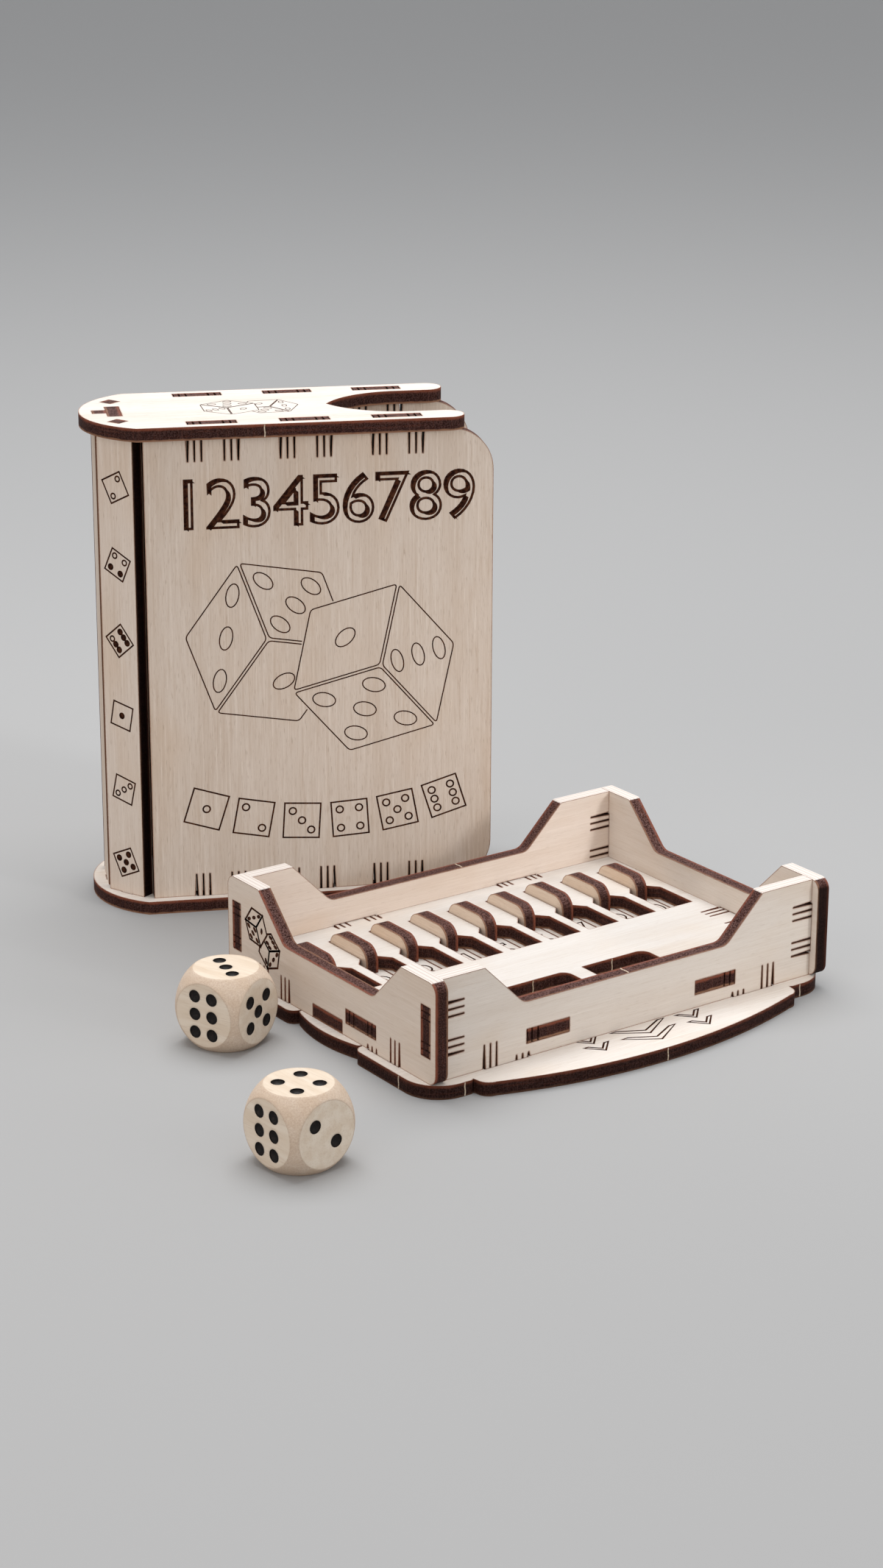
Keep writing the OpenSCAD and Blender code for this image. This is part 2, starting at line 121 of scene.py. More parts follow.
def shaded(colour, red, green, blue):
    return colour[0] * red, colour[1] * green, colour[2] * blue, 1


def veneer_face(tree, place, fibre, veneer, figure):
    """The veneer's colour: broad blush and tone, streaks along the grain, fine fibres and pores."""
    dusk = shaded(veneer, 0.78, 0.70, 0.62)
    tone = grain_noise(tree, place, (0.012, 0.16, 0.0), 3.0)
    pores = grain_noise(tree, place, (0.42, 6.0, 0.5), 1.0)
    streaks = grain_noise(tree, place, (0.045, 1.7, 0.0), 3.0, 0.65)
    blush = grain_noise(tree, place, (0.03, 0.06, 0.0), 2.0)
    face = veneer
    for share, colour in (
        (fade(tree, blush, 0.48, 0.75, 0.0, 0.55), shaded(veneer, 0.93, 0.84, 0.74)),
        (fade(tree, tone, 0.40, 0.72, 0.0, 0.30), dusk),
        (fade(tree, streaks, 0.52, 0.72, 0.0, 0.40 * figure), dusk),
        (fade(tree, streaks, 0.48, 0.30, 0.0, 0.55 * figure), shaded(veneer, 1.12, 1.14, 1.16)),
        (fade(tree, fibre, 0.42, 0.78, 0.0, 0.45 * figure), dusk),
        (fade(tree, pores, 0.62, 0.76, 0.0, 0.34 * figure), shaded(veneer, 0.52, 0.42, 0.34)),
    ):
        face = blend_colours(tree, share, face, colour)
    return face


def scorched_rim(tree, place, face):
    """Browns the veneer in a ragged line along the board's edges."""
    soft = wire(tree, "Bevel", {"Radius": 0.55 * MM}, samples=6).outputs[0]
    flat = wire(tree, "NewGeometry").outputs["True Normal"]
    turned = wire(tree, "VectorMath", {0: soft, 1: flat}, operation="DOT_PRODUCT").outputs["Value"]
    ragged = grain_noise(tree, place, (0.9, 0.9, 0.9), 3.0)
    near_edge = math_of(tree, "SUBTRACT", 1.0, turned)
    reach = math_of(tree, "MULTIPLY_ADD", ragged, 0.25, 0.04)
    return blend_colours(tree, fade(tree, near_edge, 0.0, reach, 0.0, 0.95), face, SCORCH)


def charred_edge(tree, place, depth, upward, striae, edge_shade, glow):
    """The burnt edge: char, fibres, the outer plies' browns, crumbs with a painted sheen where the char
    faces up, and painted shade on edges that face sideways or down.
    """
    crumbs = grain_noise(tree, place, (3.4, 3.4, 3.4), 2.0, 0.7)
    layers = grain_noise(tree, place, (0.10, 0.10, 2.0), 2.0)
    wander = math_of(tree, "MULTIPLY_ADD", grain_noise(tree, place, (0.5, 0.5, 0.0), 2.0), 0.5, depth)
    # Painted sheen: the light crumbs show most where the char faces up, and only a little on every other
    # edge.
    upward_sheen = fade(tree, upward, 0.3, 0.8, 0.3, 0.85)
    edge = CHAR
    for share, colour in (
        (fade(tree, striae, 0.42, 0.72, 0.0, 0.5), CHAR_FIBRE),
        (fade(tree, layers, 0.50, 0.72, 0.0, 0.15), OUTER_PLY_CHAR),
        (fade(tree, wander, 0.9, 1.6, 0.0, 0.9), OUTER_PLY_CHAR),
        (fade(tree, wander, -0.7, -1.1, 0.0, glow), UNDER_PLY_CHAR),
        (math_of(tree, "MULTIPLY", fade(tree, crumbs, 0.34, 0.70), upward_sheen), CHAR_CRUMB_SHEEN),
        # Painted shade: edges are blackened the more, the less they face up.
        (fade(tree, upward, 0.55, 0.2, 0.0, edge_shade), PAINTED_EDGE_SHADE),
    ):
        edge = blend_colours(tree, share, edge, colour)
    return edge


def sawn_top(tree, point, depth, top, edge):
    """Leaves the board's highest edge unburnt, with the glue lines between its three plies."""
    height = along_axis(tree, point, UP, shift=-top / MM)
    plies = math_of(tree, "PINGPONG", math_of(tree, "ADD", depth, SHEET / 2), 0.5)
    lines = fade(tree, plies, 0.25, 0.48, 0.0, 0.6)
    raw = blend_colours(tree, lines, SAWN_PLY, GLUE_LINE)
    return blend_colours(tree, fade(tree, height, -0.25, -0.12), edge, raw)


def cut_plywood(name, node, through, grain, veneer=VENEER, raw_top=False, seed=0.0, figure=1.0,
                edge_shade=0.0, glow=0.75):
    """Birch plywood as the laser leaves it: pale veneer on both faces, charred edges, and a scorched
    rim where they meet. raw_top leaves the board's highest edge as the factory sawed it, edge_shade
    sets the painted shade that blackens its upright and downward edges, and glow is how far the
    under ply keeps its own colour."""
    spans = [v.co.dot(through) for v in node.data.vertices]
    middle = (min(spans) + max(spans)) / 2
    top = max(v.co.z for v in node.data.vertices)
    material, tree, shader = new_material(name)
    here = wire(tree, "TexCoord").outputs
    u = along_axis(tree, here["Object"], grain, shift=seed * 37.0)
    v = along_axis(tree, here["Object"], through.cross(grain), shift=seed * 11.0)
    w = along_axis(tree, here["Object"], through, shift=-middle / MM)
    place = wire(tree, "CombineXYZ", {0: u, 1: v, 2: w}).outputs[0]
    facing = along_axis(tree, here["Normal"], through, scale=1.0)
    upward = along_axis(tree, here["Normal"], UP, scale=1.0)
    fibre = grain_noise(tree, place, (0.2, 6.0, 0.5), 3.0, 0.7)
    striae = grain_noise(tree, place, (2.6, 2.6, 0.22), 3.0, 0.7)

    face = scorched_rim(tree, place, veneer_face(tree, place, fibre, veneer, figure))
    edge = charred_edge(tree, place, w, upward, striae, edge_shade, glow)
    if raw_top:
        edge = sawn_top(tree, here["Object"], w, top, edge)
    on_face = fade(tree, math_of(tree, "ABSOLUTE", facing), 0.80, 0.97)
    tree.links.new(blend_colours(tree, on_face, edge, face), shader.inputs["Base Color"])

    gloss = math_of(tree, "MULTIPLY_ADD", fibre, 0.2, 0.55)
    tree.links.new(gloss, shader.inputs["Roughness"])
    shader.inputs["Specular IOR Level"].default_value = 0.04
    relief = math_of(tree, "MULTIPLY_ADD", striae, 0.9, math_of(tree, "MULTIPLY", fibre, 0.35))
    bump = wire(tree, "Bump", {"Height": relief, "Strength": 0.35, "Distance": 0.06 * MM})
    tree.links.new(bump.outputs[0], shader.inputs["Normal"])
    return material


def dress(name, material):
    board = nodes[name]
    board.data.materials.clear()
    board.data.materials.append(material)


# The base plate's upright edges get a little painted shade.
base_birch = cut_plywood("base_birch", nodes["base_plate"], UP, RIGHT, seed=1, figure=0.7, edge_shade=0.4,
                         glow=0.35)
dress("base_plate", base_birch)


# The lines that the laser engraves: shallow, dark brown, a fifth to three fifths of a millimetre wide.
# Each is a thin closed strip that lies in the face of its board.

def mottled(name, stretch, low, high, dark, light, roughness, specular):
    """A material that wanders between two colours, as small burnt, broken or painted spots do."""
    material, tree, shader = new_material(name)
    here = wire(tree, "TexCoord").outputs["Object"]
    place = wire(tree, "VectorMath", {0: here, "Scale": 1 / MM}, operation="SCALE").outputs[0]
    share = fade(tree, grain_noise(tree, place, stretch, 2.0), low, high)
    tree.links.new(blend_colours(tree, share, dark, light), shader.inputs["Base Color"])
    shader.inputs["Roughness"].default_value = roughness
    shader.inputs["Specular IOR Level"].default_value = specular
    return material


LINE = mottled("charred_line", (1.3, 1.3, 1.3), 0.35, 0.7,
               (0.020, 0.006, 0.004, 1), (0.075, 0.026, 0.012, 1), 0.85, 0.05)
LINE_TOP = 0.02
LINE_DEPTH = 0.05


def finished_mesh(shape, name, material):
    mesh = bpy.data.meshes.new(name)
    shape.to_mesh(mesh)
    shape.free()
    mesh.materials.append(material)
    return mesh


def add_piece(name, mesh, body):
    piece = bpy.data.objects.new(name, mesh)
    bpy.context.scene.collection.objects.link(piece)
    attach(piece, body)
    return piece


def line_ring(shape, points, closed, half):
    """One engraved line as a thin closed strip; points are in mm on the board's face."""
    count = len(points)
    rings = []
    for i, point in enumerate(points):
        before = points[i - 1] if closed or i > 0 else None
        after = points[(i + 1) % count] if closed or i < count - 1 else None
        into = (point - before).normalized() if before is not None else None
        out = (after - point).normalized() if after is not None else None
        ahead = (into + out if into and out else into or out).normalized()
        side = Vector((-ahead.y, ahead.x))
        stretch = 1.0 if not (into and out) else min(2.0, 1.0 / max(0.4, ahead.dot(out)))
        left, right = point + side * half * stretch, point - side * half * stretch
        rings.append([shape.verts.new((p.x, p.y, z)) for p, z in (
            (left, LINE_TOP), (right, LINE_TOP), (right, -LINE_DEPTH), (left, -LINE_DEPTH))])
    for i in range(count if closed else count - 1):
        here, there = rings[i], rings[(i + 1) % count]
        for j in range(4):
            k = (j + 1) % 4
            shape.faces.new((here[j], here[k], there[k], there[j]))
    if not closed:
        shape.faces.new(rings[0][::-1])
        shape.faces.new(rings[-1])


def burnt_patch(shape, outline):
    """A convex patch burnt all over, such as a filled pip, as a thin plate."""
    upper = [shape.verts.new((p.x, p.y, LINE_TOP)) for p in outline]
    lower = [shape.verts.new((p.x, p.y, -LINE_DEPTH)) for p in outline]
    shape.faces.new(upper)
    shape.faces.new(lower[::-1])
    for i in range(len(outline)):
        j = (i + 1) % len(outline)
        shape.faces.new((upper[i], lower[i], lower[j], upper[j]))


def oval(middle, a, b, points=20):
    """A closed oval round a point, with a and b as its half-axes."""
    turns = (math.tau * n / points for n in range(points))
    return [middle + a * math.cos(t) + b * math.sin(t) for t in turns]


def engrave(name, body, origin, right, up, width, strokes, patches=()):
    """Burns strokes, each (points, closed), and convex patches into the face that passes through
    origin with the given right and up directions. The width of a stroke is in mm."""
    shape = bmesh.new()
    for points, closed in strokes:
        line_ring(shape, [Vector(p) for p in points], closed, width / 2)
    for outline in patches:
        burnt_patch(shape, [Vector(p) for p in outline])
    out = right.cross(up)
    place = Matrix((
        (right.x * MM, up.x * MM, out.x * MM, origin.x),
        (right.y * MM, up.y * MM, out.y * MM, origin.y),
        (right.z * MM, up.z * MM, out.z * MM, origin.z),
        (0, 0, 0, 1),
    ))
    bmesh.ops.transform(shape, matrix=place, verts=shape.verts)
    bmesh.ops.recalc_face_normals(shape, faces=shape.faces)
    return add_piece(name, finished_mesh(shape, name, LINE), body)


def chevron(centre, half, drop, arm):
    """An outlined V that points down."""
    x, y = centre
    top, tip = y + drop / 2, y - drop / 2
    return [(x - half, top), (x - half + arm, top), (x, tip + arm),
            (x + half - arm, top), (x + half, top), (x, tip)], True


CHEVRON_LINE = 0.42
SMALL_CHEVRON = (3.1, 3.2, 1.1)
LARGE_CHEVRON = (7.0, 4.4, 1.6)
tray_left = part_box("left_wall")[0][0]
tray_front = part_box("front_wall")[0][1]
base_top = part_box("base_plate")[1][2]
tray_corner = Vector((tray_left, tray_front, base_top))
pull_marks = [chevron(centre, *SMALL_CHEVRON)
              for centre in ((39.0, -0.9), (39.0, -4.9), (64.8, -2.4), (64.8, -6.6))]
pull_marks += [chevron(centre, *LARGE_CHEVRON) for centre in ((51.9, -2.6), (51.9, -6.4))]
engrave("pull_tab_chevrons", "tray", tray_corner, RIGHT, BACK, CHEVRON_LINE, pull_marks)


# ---- Walls ------------------------------------------------------------------------------------
# Four upright boards round the tray, each dipped in the middle so that a hand reaches in. They stand
# in the base plate on tabs, and the front and back walls plug into mortises in the side walls.

WALL_VENEER = (0.745, 0.670, 0.600, 1)
ROSY_VENEER = (0.82, 0.708, 0.622, 1)
WARM_VENEER = (0.745, 0.640, 0.550, 1)
# The last column sets how much painted shade darkens each wall's upright and downward edges.
wall_sheets = (
    ("front_wall", BACK, RIGHT, WALL_VENEER, 0.0),
    ("back_wall", BACK, RIGHT, ROSY_VENEER, 0.0),
    ("left_wall", -RIGHT, BACK, WARM_VENEER, 0.0),
    ("right_wall", RIGHT, BACK, WALL_VENEER, 0.75),
)
for seed, (wall, through, grain, veneer, edge_shade) in enumerate(wall_sheets, start=2):
    birch = cut_plywood(wall + "_birch", nodes[wall], through, grain, veneer, raw_top=True, seed=seed,
                        figure=0.6, edge_shade=edge_shade, glow=0.6)
    dress(wall, birch)


# Two tumbling dice, drawn as seen corner-on, are engraved at the back end of the left wall.

def in_outline(point, outline):
    """Whether a point lies inside a convex outline that runs anticlockwise."""
    return all((b - a).cross(point - a) > 0 for a, b in zip(outline, outline[1:] + outline[:1]))


PIPS = {
    1: [(0, 0)], 2: [(-1, 1), (1, -1)], 3: [(-1, 1), (0, 0), (1, -1)],
    4: [(-1, 1), (1, 1), (-1, -1), (1, -1)], 5: [(-1, 1), (1, 1), (0, 0), (-1, -1), (1, -1)],
    6: [(-1, 1), (-1, 0), (-1, -1), (1, 1), (1, 0), (1, -1)],
}
PIP_STEP = 0.28


def eased(corners, radius):
    """A closed outline with each corner cut back to a small curve."""
    shares = (0, 0.25, 0.5, 0.75, 1)
    points = []
    for i, corner in enumerate(corners):
        before = corner + (corners[i - 1] - corner).normalized() * radius
        after = corner + (corners[(i + 1) % len(corners)] - corner).normalized() * radius
        points += [before.lerp(corner, t).lerp(corner.lerp(after, t), t) for t in shares]
    return points


def square_on(turn, edge):
    """The three edges of a die that is seen exactly corner-on, each as (direction, length)."""
    return [(turn + third, edge) for third in (0, 120, 240)]


def drawn_die(centre, edges, faces, gap, pip, filled):
    """A die seen corner-on: three rhombic faces round the near corner, each with its own pips, and
    with a negative count laid along the other diagonal. Returns strokes, filled pips and outline."""
    arms = []
    for turn, edge in edges:
        angle = math.radians(turn)
        arms.append(Vector((math.cos(angle), math.sin(angle))) * edge)
    centre = Vector(centre)
    strokes, patches, outline = [], [], []
    for i, count in enumerate(faces):
        a, b = arms[i], arms[(i + 1) % 3]
        low, high = gap / a.length, 1 - gap / a.length
        places = ((low, low), (high, low), (high, high), (low, high))
        corners = [centre + a * s + b * t for s, t in places]
        strokes.append((eased(corners, 2.2 * gap) if gap else corners, True))
        turned = -1 if count < 0 else 1
        for p, q in PIPS[abs(count)]:
            spot = centre + a * (0.5 + PIP_STEP * p) + b * (0.5 + PIP_STEP * q * turned)
            ring = oval(spot, a * pip, b * pip)
            if filled:
                patches.append(ring)
            else:
                strokes.append((ring, True))
        outline += [centre + a, centre + a + b]
    return strokes, patches, outline


def behind(strokes, outline, step):
    """The parts of the strokes that lie outside an outline drawn in front of them."""
    pieces = []
    for points, closed in strokes:
        ends = points + points[:1] if closed else points
        walk = []
        for a, b in zip(ends, ends[1:]):
            parts = max(1, round((b - a).length / step))
            walk += [a.lerp(b, n / parts) for n in range(parts)]
        walk.append(ends[-1])
        run = []
        for point in walk:
            if in_outline(point, outline):
                if len(run) > 1:
                    pieces.append((run, False))
                run = []
            else:
                run.append(point)
        if len(run) > 1:
            pieces.append((run, False))
    return pieces


def dice_pair(front, back, gap, pip, filled=False, step=0.3):
    """Two drawn dice, the front one hiding part of the back one; each is (centre, edges, faces)."""
    near_lines, near_pips, outline = drawn_die(*front, gap, pip, filled)
    far_lines, far_pips, _ = drawn_die(*back, gap, pip, filled)
    seen = [ring for ring in far_pips if not any(in_outline(p, outline) for p in ring)]
    return near_lines + behind(far_lines, outline, step), near_pips + seen


BACK_WALL_Y = 69.2
WALL_DICE_LINE = 0.46
WALL_DIE_EDGE = 4.2
upper_die = ((6.1, 16.0), square_on(53, WALL_DIE_EDGE), (3, 5, 1))
lower_die = ((11.1, 12.2), square_on(19, WALL_DIE_EDGE), (6, 2, 3))
wall_lines, wall_pips = dice_pair(upper_die, lower_die, gap=0, pip=0.14, filled=True)
wall_corner = Vector((tray_left, tray_front + BACK_WALL_Y * MM, 0))
engrave("left_wall_dice", "tray", wall_corner, -BACK, UP, WALL_DICE_LINE, wall_lines, wall_pips)


# ---- Guide comb and deck ----------------------------------------------------------------------
# Two boards laid on the base plate inside the walls. The comb's channels guide the number plates,
# and the deck over it has a keyhole for each number and two square pockets for the dice.

DECK_VENEER = (0.74, 0.702, 0.665, 1)
dress("guide_comb", cut_plywood("comb_birch", nodes["guide_comb"], UP, RIGHT, seed=6))
dress("deck", cut_plywood("deck_birch", nodes["deck"], UP, RIGHT, DECK_VENEER, seed=7, figure=0.6))


# ---- Number slides ----------------------------------------------------------------------------
# Nine small plates, each with its numeral burnt into the end under the window, and a lever pressed
# upright into a mortise. Pushed to the front, a plate hides its number under the deck.

LEVER_VENEER = (0.77, 0.645, 0.53, 1)
SANDED = 0.06
NUMERAL_H = 8.4
NUMERAL_Y = 7.2
NUMERAL_LINE = 0.42


def evaluated_mesh(source):
    """The mesh that a text or an object with modifiers comes to."""
    bpy.context.view_layer.update()
    return bpy.data.meshes.new_from_object(source.evaluated_get(bpy.context.evaluated_depsgraph_get()))


def numeral(body, height):
    """The outlines of a numeral as closed strokes in mm, centred on its own box."""
    letters = bpy.data.curves.new("numeral", "FONT")
    letters.body = body
    letters.fill_mode = "NONE"
    letters.resolution_u = 6
    holder = bpy.data.objects.new("numeral", letters)
    bpy.context.scene.collection.objects.link(holder)
    mesh = evaluated_mesh(holder)
    links = {}
    for edge in mesh.edges:
        a, b = edge.vertices
        links.setdefault(a, []).append(b)
        links.setdefault(b, []).append(a)
    places = [v.co.copy() for v in mesh.vertices]
    bpy.data.objects.remove(holder)
    bpy.data.curves.remove(letters)
    bpy.data.meshes.remove(mesh)
    low_x, high_x = min(p.x for p in places), max(p.x for p in places)
    low_y, high_y = min(p.y for p in places), max(p.y for p in places)
    scale = height / (high_y - low_y)
    middle = Vector(((low_x + high_x) / 2, (low_y + high_y) / 2))
    strokes, seen = [], set()
    for start in links:
        if start in seen:
            continue
        loop, at, before = [], start, None
        while at not in seen:
            seen.add(at)
            loop.append((places[at].xy - middle) * scale)
            at, before = next((n for n in links[at] if n != before and n not in seen), start), at
        strokes.append((loop, True))
    return strokes


def moved(strokes, shift):
    return [([p + Vector(shift) for p in points], closed) for points, closed in strokes]


def cast_shadows(strokes, throw):
    """The patches that closed outlines sweep when they move by throw: a letter's drop shadow."""
    throw = Vector(throw)
    patches = []
    for points, _ in strokes:
        for a, b in zip(points, points[1:] + points[:1]):
            if (b - a).cross(throw) > 0.02:
                patches.append([a, b, b + throw, a + throw])
    return patches


def sanded_plate(plate, body, material):
    """A number plate with its face lowered a little, so that it clears the deck as it slides."""
    shape = bmesh.new()
    shape.from_mesh(nodes[plate].data)
    bmesh.ops.remove_doubles(shape, verts=shape.verts, dist=0.002 * MM)
    face = max(v.co.z for v in shape.verts)
    for corner in shape.verts:
        corner.co.z = min(corner.co.z, face - SANDED * MM)
    mesh = finished_mesh(shape, plate + "_sanded", material)
    mesh.polygons.foreach_set("use_smooth", [False] * len(mesh.polygons))
    piece = add_piece(plate + "_sanded", mesh, body)
    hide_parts(plate)


for number in range(1, 10):
    plate = f"number_plate_{number}"
    lever = f"lever_{number}"
    slider = f"slider_{number}"
    birch = cut_plywood(plate + "_birch", nodes[plate], UP, BACK, seed=7 + number, figure=0.7)
    sanded_plate(plate, slider, birch)
    dress(lever, cut_plywood(lever + "_birch", nodes[lever], RIGHT, BACK, LEVER_VENEER, seed=17 + number))
    plate_low, plate_high = (Vector(c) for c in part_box(plate))
    face = plate_high.z - (SANDED + LINE_TOP / 2) * MM
    spot = Vector(((plate_low.x + plate_high.x) / 2, plate_low.y + NUMERAL_Y * MM, face))
    outlines = numeral(str(number), NUMERAL_H)
    engrave(f"numeral_{number}", slider, spot, RIGHT, BACK, NUMERAL_LINE, outlines)


# ---- Case -------------------------------------------------------------------------------------
# The box that the tray slides into, made like a book: two covers, two caps with a finger notch, and
# a spine of three narrow strips in front of a hidden rib. It stands on its bottom cap.

CASE_VENEER = (0.682, 0.583, 0.500, 1)
STRIP_VENEER = (0.79, 0.68, 0.59, 1)
cover_corners = [v.co for v in nodes["front_cover"].data.vertices]
spine_corner = min(cover_corners, key=lambda c: c.x)
far_corner = max(cover_corners, key=lambda c: c.x)
diagonal = (far_corner - spine_corner).xy
case_turn = math.atan2(diagonal.y, diagonal.x) - math.asin(SHEET * MM / diagonal.length)
case_right = Matrix.Rotation(case_turn, 3, "Z") @ RIGHT
case_back = Matrix.Rotation(case_turn, 3, "Z") @ BACK
case_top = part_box("top_cap")[1][2]
slant = {
    "spine_front_strip": Matrix.Rotation(math.radians(-45), 3, "Z") @ case_back,
    "spine_back_strip": Matrix.Rotation(math.radians(45), 3, "Z") @ case_back,
}
for seed, cap in enumerate(("bottom_cap", "top_cap"), start=30):
    dress(cap, cut_plywood(cap + "_birch", nodes[cap], UP, case_right, seed=seed))
# The covers and slanted strips get strong painted shade on their upright and downward edges.
for seed, cover in enumerate(("front_cover", "back_cover"), start=32):
    birch = cut_plywood(cover + "_birch", nodes[cover], case_back, UP, CASE_VENEER, seed=seed,
                        figure=1.3, edge_shade=0.8)
    dress(cover, birch)
for seed, (strip, through) in enumerate(slant.items(), start=34):
    birch = cut_plywood(strip + "_birch", nodes[strip], through, UP, STRIP_VENEER, seed=seed, edge_shade=0.8)
    dress(strip, birch)
for seed, strip in enumerate(("spine_middle_strip", "spine_rib"), start=36):
    dress(strip, cut_plywood(strip + "_birch", nodes[strip], case_right, UP, CASE_VENEER, seed=seed))

# The front cover carries the nine numbers over two large line-drawn dice, with a bow of six small
# die faces under them.
TITLE_X, TITLE_Z = 9.6, 94.0
TITLE_STEP = 7.5
TITLE_H = 10.8
TITLE_LINE = 0.58
TITLE_SHADOW = (0.8, -0.6)
COVER_DICE_LINE = 0.27
SMALL_FACE_LINE = 0.36
spine_foot = Vector((spine_corner.x, spine_corner.y, 0))
title = []
for number in range(9):
    title += moved(numeral(str(number + 1), TITLE_H), (TITLE_X + TITLE_STEP * number, TITLE_Z))
shadow = cast_shadows(title, TITLE_SHADOW)
engrave("cover_numbers", "case", spine_foot, case_right, UP, TITLE_LINE, title, shadow)
right_die = ((52.0, 55.3), [(78, 19.6), (194.5, 20.8), (311, 19.5)], (1, 5, -3))
left_die = ((26.7, 62.7), [(110, 19.2), (234, 20.7), (351, 19.2)], (3, 1, 5))
cover_lines, _ = dice_pair(right_die, left_die, gap=0.38, pip=0.108)
engrave("cover_dice", "case", spine_foot, case_right, UP, COVER_DICE_LINE, cover_lines)


def die_square(centre, size, turn, count, pip, filled_from):
    """A small flat die face, turned about its middle: its lines, and its pips from filled_from on,
    which are burnt all over."""
    spin = Matrix.Rotation(math.radians(turn), 2)
    half = size / 2
    place = Vector(centre)
    corners = ((-half, -half), (half, -half), (half, half), (-half, half))
    square = [place + spin @ Vector(corner) for corner in corners]
    across, along = spin @ Vector((pip, 0)), spin @ Vector((0, pip))
    rings = [oval(place + spin @ Vector(spot) * size * 0.27, across, along) for spot in PIPS[count]]
    return [(square, True)] + [(ring, True) for ring in rings], rings[filled_from:]


BOW_R = 90
BOW_MIDDLE = Vector((39.3, 109.5))
BOW_STEP = 7
BOW_SQUARE = 8.2
BOW_PIP = 0.8
bow_lines = []
for count in range(1, 7):
    lean = (count - 3.5) * BOW_STEP
    centre = BOW_MIDDLE - Matrix.Rotation(math.radians(lean), 2) @ Vector((0, BOW_R))
    bow_lines += die_square(centre, BOW_SQUARE, lean, count, BOW_PIP, 0)[0]
engrave("cover_bow", "case", spine_foot, case_right, UP, SMALL_FACE_LINE, bow_lines)

# The same pair of dice lies small on the top cap, turned to face the back.
CAP_DICE = Vector((20.3, 15.3))
CAP_TURN = 194
CAP_SCALE = 0.358
CAP_LINE = 0.18
cap_corner = Vector((spine_corner.x, spine_corner.y, case_top))
shrink = Matrix.Rotation(math.radians(CAP_TURN), 2) * CAP_SCALE
dice_middle = Vector(right_die[0])
cap_lines = [([CAP_DICE + shrink @ (point - dice_middle) for point in points], closed)
             for points, closed in cover_lines]
engrave("cap_dice", "case", cap_corner, case_right, case_back, CAP_LINE, cap_lines)

# The slanted strip at the front shows the six die faces, some with ringed pips and some with filled
# ones: each row holds the count, the turn and how many pips are only ringed.
STRIP_FIRST = 10.4
STRIP_STEP = 17.4
STRIP_SQUARE = 5.5
STRIP_PIP = 0.6
strip_faces = ((5, 25, 0), (3, 77, 3), (1, -11, 0), (6, 40, 1), (4, -25, 2), (2, 117, 2))
strip_low, strip_high = (Vector(c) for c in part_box("spine_front_strip"))
outward = -slant["spine_front_strip"]
strip_middle = (strip_low + strip_high) / 2
strip_foot = Vector((strip_middle.x, strip_middle.y, 0)) + outward * SHEET / 2 * MM
strip_lines, strip_pips = [], []
for step, (count, turn, ringed) in enumerate(strip_faces):
    height = STRIP_FIRST + STRIP_STEP * step
    lines, pips = die_square((0, height), STRIP_SQUARE, turn, count, STRIP_PIP, ringed)
    strip_lines += lines
    strip_pips += pips
strip_right = UP.cross(outward).normalized()
engrave("strip_dice", "case", strip_foot, strip_right, UP, SMALL_FACE_LINE, strip_lines, strip_pips)


# ---- Holding-tab stubs ------------------------------------------------------------------------
# Where a thin bridge held a board in its sheet until it was pressed out, a pale sliver of unburnt
# wood is left across the charred edge.

STUB = mottled("snapped_wood", (2.0, 2.0, 6.0), 0.3, 0.7,
               (0.70, 0.60, 0.48, 1), (0.42, 0.30, 0.20, 1), 0.8, 0.5)
STUB_W = 0.32


def stub(name, body, foot, through, outward):
    """A sliver across an edge, from foot through the sheet, standing a little proud of it."""
    along = through.cross(outward).normalized()
    shape = bmesh.new()
    rows = []
    for share, wobble in ((0.04, 0.0), (0.35, 0.08), (0.7, -0.06), (0.96, 0.03)):
        row = []
        for side, rise in ((-1, -0.05), (-0.6, 0.07), (0.6, 0.09), (1, -0.05)):
            offset = through * SHEET * share + along * (side * STUB_W / 2 + wobble) + outward * rise
            row.append(shape.verts.new(foot + offset * MM))
        rows.append(row)
    for low, high in zip(rows, rows[1:]):
        for j in range(4):
            k = (j + 1) % 4
            shape.faces.new((low[j], low[k], high[k], high[j]))
    shape.faces.new(rows[0][::-1])
    shape.faces.new(rows[-1])
    bmesh.ops.recalc_face_normals(shape, faces=shape.faces)
    add_piece(name, finished_mesh(shape, name, STUB), body)


def in_tray(x, y, z):
    """A place in mm from the tray's front left corner at the table."""
    return tray_corner + Vector((x, y, z - SHEET)) * MM


def in_case(x, y, z):
    """A place in mm along, behind and above the front cover's spine end at the table."""
    return spine_foot + (case_right * x + case_back * y + UP * z) * MM


stub("cap_stub", "case", in_case(26.3, -2.2, case_top / MM - SHEET), UP, -case_back)
stub("pull_stub", "tray", in_tray(50.2, -12.6, 0), UP, -BACK)
stub("foot_stub", "tray", in_tray(-2.3, 7.5, 0), UP, -RIGHT)
stub("corner_stub_left", "tray", in_tray(6.5, -2.8, 0), UP, -BACK)
stub("corner_stub_right", "tray", in_tray(94.2, -2.8, 0), UP, -BACK)
stub("pocket_stub_left", "tray", in_tray(40.4, 19.9, 6), UP, -BACK)
stub("pocket_stub_right", "tray", in_tray(61.3, 19.9, 6), UP, -BACK)
stub("front_wall_stub", "tray", in_tray(49.8, 0, 15.1), BACK, UP)
stub("back_wall_stub", "tray", in_tray(58.0, BACK_WALL_Y, 15.1), BACK, UP)


# ---- Dice -------------------------------------------------------------------------------------
# Two sixteen-millimetre dice of solid beech, turned on a ball so that only a round flat is left of
# each face, sanded, and drilled with pips that are painted black.

BALL_R = 10.55
PIP_R = 1.36
PIP_DEPTH = 0.85
EARLY_BEECH = (0.81, 0.70, 0.575, 1)
LATE_BEECH = (0.73, 0.60, 0.465, 1)
BEECH_FIBRE = (0.50, 0.35, 0.23, 1)
BEECH_END = (0.49, 0.335, 0.235, 1)


